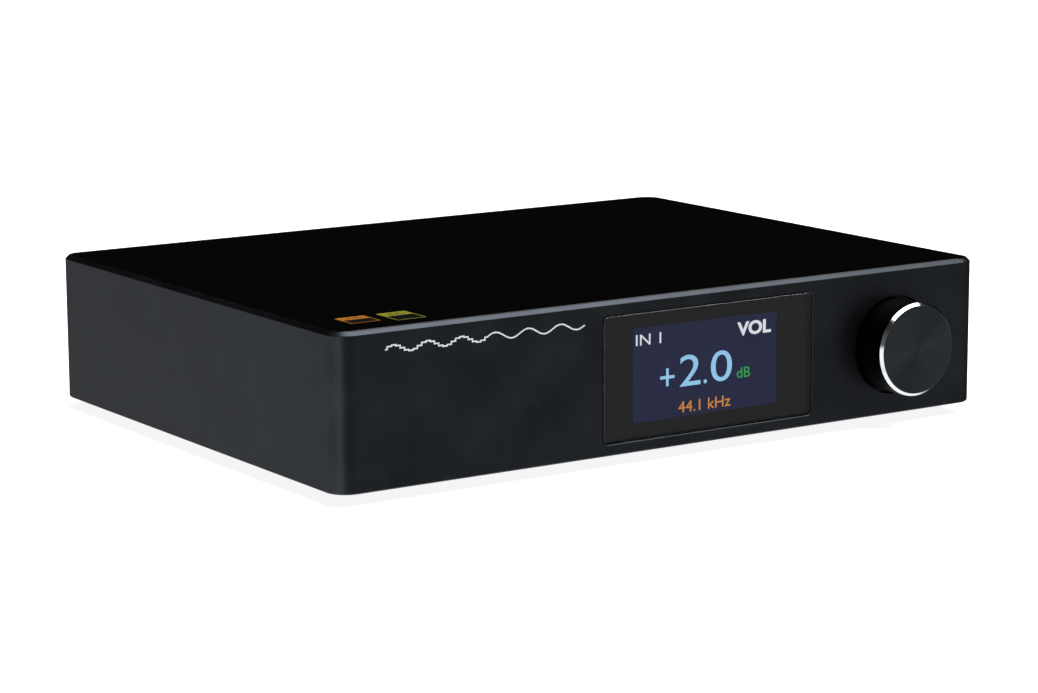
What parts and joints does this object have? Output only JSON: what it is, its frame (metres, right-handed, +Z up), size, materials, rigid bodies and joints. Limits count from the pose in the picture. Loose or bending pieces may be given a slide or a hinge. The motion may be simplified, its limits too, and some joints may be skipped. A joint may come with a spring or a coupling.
{
  "type": "desktop dac",
  "caption": "Low black desktop audio converter with a glass top, lit display window, push-and-turn knob and rear sockets.",
  "frame": {"origin": "on the table, under the middle of the whole object's box, knob and jacks included", "axes": "+X to the right of someone facing the display, +Y to the back, +Z up"},
  "size_m": [0.187, 0.1564, 0.0398],
  "materials": {
    "anodised_aluminium": "bead-blasted black anodised, satin",
    "knob_aluminium": "black anodised, spun face, bright diamond-cut chamfer",
    "black_glass": "gloss, black-backed",
    "smoked_window": "smoked, gloss",
    "display_screen": "lit colour display",
    "black_plastic": "moulded, fine texture",
    "insulator": "moulded, nickel pins",
    "black_rubber": "matte",
    "screw_steel": "black zinc",
    "nickel_plate": "nickel plated",
    "gold_plate": "gold plated",
    "circuit_board": "solder mask",
    "ribbon": "flat cable",
    "capacitor_can": "sleeved",
    "relay_case": "moulded",
    "ferrite": "sintered, varnished winding",
    "receiver_epoxy": "dark epoxy",
    "light_pipe": "clear"
  },
  "bodies": {
    "enclosure": {"chassis_shell": "anodised_aluminium", "rear_panel": "anodised_aluminium", "bottom_cover": "anodised_aluminium", "top_glass": "black_glass", "display_lens": "smoked_window", "display_panel": "display_screen", "display_holder": "black_plastic", "xlr_left_housing": "black_plastic", "xlr_right_housing": "black_plastic", "optical_socket": "black_plastic", "mains_inlet": "black_plastic", "power_switch": "black_plastic", "xlr_left_insert": "insulator", "xlr_right_insert": "insulator", "foot_front_left": "black_rubber", "foot_front_right": "black_rubber", "foot_rear_left": "black_rubber", "foot_rear_right": "black_rubber", "cover_screw_front_left": "screw_steel", "cover_screw_front_right": "screw_steel", "cover_screw_rear_left": "screw_steel", "cover_screw_rear_right": "screw_steel", "rear_screw_left_low": "screw_steel", "rear_screw_left_high": "screw_steel", "rear_screw_right_low": "screw_steel", "rear_screw_right_high": "screw_steel", "main_board_screw_1": "screw_steel", "main_board_screw_2": "screw_steel", "main_board_screw_3": "screw_steel", "power_board_screw_1": "screw_steel", "power_board_screw_2": "screw_steel", "front_board_screw": "screw_steel", "encoder_body": "screw_steel", "encoder_nut": "nickel_plate", "usb_socket": "nickel_plate", "rca_left": "gold_plate", "rca_right": "gold_plate", "coaxial_jack": "gold_plate", "antenna_socket": "gold_plate", "antenna_nut": "gold_plate", "main_board": "circuit_board", "power_board": "circuit_board", "front_board": "circuit_board", "display_cable": "ribbon", "smoothing_capacitor_1": "capacitor_can", "smoothing_capacitor_2": "capacitor_can", "mains_capacitor": "capacitor_can", "output_relay_1": "relay_case", "output_relay_2": "relay_case", "power_transformer": "ferrite", "infrared_receiver": "receiver_epoxy", "status_light_pipe": "light_pipe"},
    "push_stem": {"encoder_switch_plunger": "relay_case"},
    "volume_knob": {"knob": "knob_aluminium", "knob_grub_screw": "screw_steel", "encoder_shaft": "nickel_plate"},
    "encoder_wiper": {"encoder_rotor": "relay_case"},
    "switch_rocker": {"power_rocker": "black_plastic"},
    "optical_flap": {"optical_shutter": "black_plastic"}
  },
  "joints": [
    {"name": "knob_push", "type": "slide", "parent": "enclosure", "child": "push_stem", "axis": [0, 1, 0], "range_m": [0, 0.0005], "stiffness_N_per_m": 1500, "springref_m": -0.0005},
    {"name": "knob_spin", "type": "hinge", "parent": "push_stem", "child": "volume_knob", "pos_m": [0.0662, -0.06925, 0.0205], "axis": [0, 1, 0], "continuous": true},
    {"name": "encoder_rotor_spin", "type": "hinge", "parent": "enclosure", "child": "encoder_wiper", "pos_m": [0.0662, -0.06025, 0.0205], "axis": [0, 1, 0], "continuous": true},
    {"name": "rocker_tip", "type": "hinge", "parent": "enclosure", "child": "switch_rocker", "pos_m": [-0.07404, 0.07025, 0.0205], "axis": [1, 0, 0], "range_deg": [-24, 0]},
    {"name": "shutter_swing", "type": "hinge", "parent": "enclosure", "child": "optical_flap", "pos_m": [-0.02304, 0.07045, 0.0169], "axis": [-1, 0, 0], "range_deg": [0, 85], "stiffness_Nm_per_rad": 0.0004, "springref_deg": -20.05}
  ],
  "couplings": [
    {"joint": "encoder_rotor_spin", "follows": "knob_spin", "ratio": 1}
  ]
}
